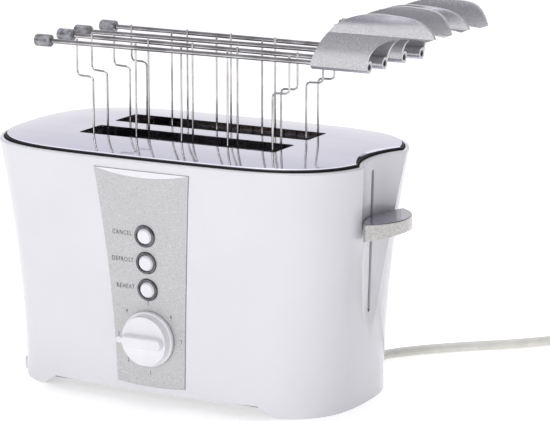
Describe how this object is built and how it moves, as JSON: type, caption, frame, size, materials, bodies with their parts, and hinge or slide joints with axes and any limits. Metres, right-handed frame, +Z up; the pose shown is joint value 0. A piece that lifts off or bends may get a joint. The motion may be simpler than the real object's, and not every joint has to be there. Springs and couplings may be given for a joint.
{
  "type": "pop up toaster",
  "caption": "Pop up toaster with flared gloss housing, polished top plate, side lever, front controls, crumb tray, mains lead and lift-out sandwich tongs.",
  "frame": {"origin": "on the counter, under the middle of the housing", "axes": "+X along the toaster towards the lever end, -Y out of the front with the controls, +Z up"},
  "size_m": [0.4294, 0.324, 0.2689],
  "materials": {
    "white_shell": "high gloss moulded",
    "polished_steel": "mirror polished",
    "black_seal": "matt",
    "silver_panel": "fine grained silver paint",
    "white_trim": "gloss",
    "dark_chrome": "polished",
    "silver_grip": "satin silver paint",
    "lever_top": "gloss",
    "rubber_foot": "matt",
    "galvanised": "plain sheet",
    "wire": "bright plated",
    "mica": "mica sheet",
    "heating_ribbon": "oxidised",
    "board": "laminate",
    "black_part": "moulded",
    "magnet": "wound coil on an iron core",
    "cap_grey": "mottled grey",
    "lead_sheath": "soft sheath",
    "plug_white": "moulded",
    "pin_metal": "plated"
  },
  "bodies": {
    "housing": {"housing_shell": "white_shell", "top_plate": "polished_steel", "top_gasket": "black_seal", "control_panel": "silver_panel", "panel_crescent": "white_trim", "button_bezels": "dark_chrome", "timer_control": "galvanised", "circuit_board": "board", "button_switches": "black_part", "base_plate": "galvanised", "rubber_feet": "rubber_foot", "base_screws": "galvanised", "end_plate_left": "galvanised", "end_plate_right": "galvanised", "heat_shield_front": "galvanised", "heat_shield_rear": "galvanised", "heater_boards": "mica", "heater_windings": "heating_ribbon", "bread_guides": "wire", "guide_rod": "wire", "latch_magnet": "magnet", "carriage_spring": "wire", "cord_gland": "black_part", "cord_boot": "lead_sheath", "power_cord": "lead_sheath", "cord_coil": "lead_sheath", "plug_body": "plug_white", "plug_pins": "pin_metal"},
    "carriage": {"carriage_bracket": "galvanised", "bread_rack_front": "galvanised", "bread_rack_rear": "galvanised", "lever_paddle": "silver_grip", "lever_inlay": "lever_top", "latch_plate": "galvanised"},
    "cancel_button": {"button_cancel": "white_trim"},
    "defrost_button": {"button_defrost": "white_trim"},
    "reheat_button": {"button_reheat": "white_trim"},
    "knob": {"browning_knob": "white_trim", "knob_shaft": "galvanised"},
    "tray": {"crumb_tray": "white_trim"},
    "front_tong": {"front_tong_front_cage": "wire", "front_tong_front_cap": "cap_grey", "front_tong_front_handle": "silver_grip", "front_tong_pin": "wire", "front_tong_spring": "wire"},
    "front_tong_jaw": {"front_tong_rear_cage": "wire", "front_tong_rear_cap": "cap_grey", "front_tong_rear_handle": "silver_grip"},
    "rear_tong": {"rear_tong_front_cage": "wire", "rear_tong_front_cap": "cap_grey", "rear_tong_front_handle": "silver_grip", "rear_tong_pin": "wire", "rear_tong_spring": "wire"},
    "rear_tong_jaw": {"rear_tong_rear_cage": "wire", "rear_tong_rear_cap": "cap_grey", "rear_tong_rear_handle": "silver_grip"}
  },
  "joints": [
    {"name": "carriage_slide", "type": "slide", "parent": "housing", "child": "carriage", "axis": [0, 0, 1], "range_m": [-0.0365, 0.028], "stiffness_N_per_m": 400, "springref_m": 0.0065, "deforming": ["carriage_spring"]},
    {"name": "cancel_press", "type": "slide", "parent": "housing", "child": "cancel_button", "axis": [0, 0.9951, 0.0985], "range_m": [0, 0.002], "stiffness_N_per_m": 250, "springref_m": -0.0015},
    {"name": "defrost_press", "type": "slide", "parent": "housing", "child": "defrost_button", "axis": [0, 0.9964, 0.0844], "range_m": [0, 0.002], "stiffness_N_per_m": 250, "springref_m": -0.0015},
    {"name": "reheat_press", "type": "slide", "parent": "housing", "child": "reheat_button", "axis": [0, 0.9975, 0.07], "range_m": [0, 0.002], "stiffness_N_per_m": 250, "springref_m": -0.0015},
    {"name": "knob_turn", "type": "hinge", "parent": "housing", "child": "knob", "pos_m": [0, -0.07207, 0.0458], "axis": [0, -0.9991, -0.0428], "range_deg": [-180, 90]},
    {"name": "tray_slide", "type": "slide", "parent": "housing", "child": "tray", "axis": [-1, 0, 0], "range_m": [0, 0.19]},
    {"name": "front_tong_lift", "type": "slide", "parent": "carriage", "child": "front_tong", "axis": [0, 0, 1], "range_m": [0, 0.13]},
    {"name": "front_tong_squeeze", "type": "hinge", "parent": "front_tong", "child": "front_tong_jaw", "pos_m": [0.12, -0.0248, 0.2577], "axis": [1, 0, 0], "range_deg": [-2.4, 1], "stiffness_Nm_per_rad": 2},
    {"name": "rear_tong_lift", "type": "slide", "parent": "carriage", "child": "rear_tong", "axis": [0, 0, 1], "range_m": [0, 0.13]},
    {"name": "rear_tong_squeeze", "type": "hinge", "parent": "rear_tong", "child": "rear_tong_jaw", "pos_m": [0.12, 0.0222, 0.2577], "axis": [1, 0, 0], "range_deg": [-2.4, 1], "stiffness_Nm_per_rad": 2}
  ]
}
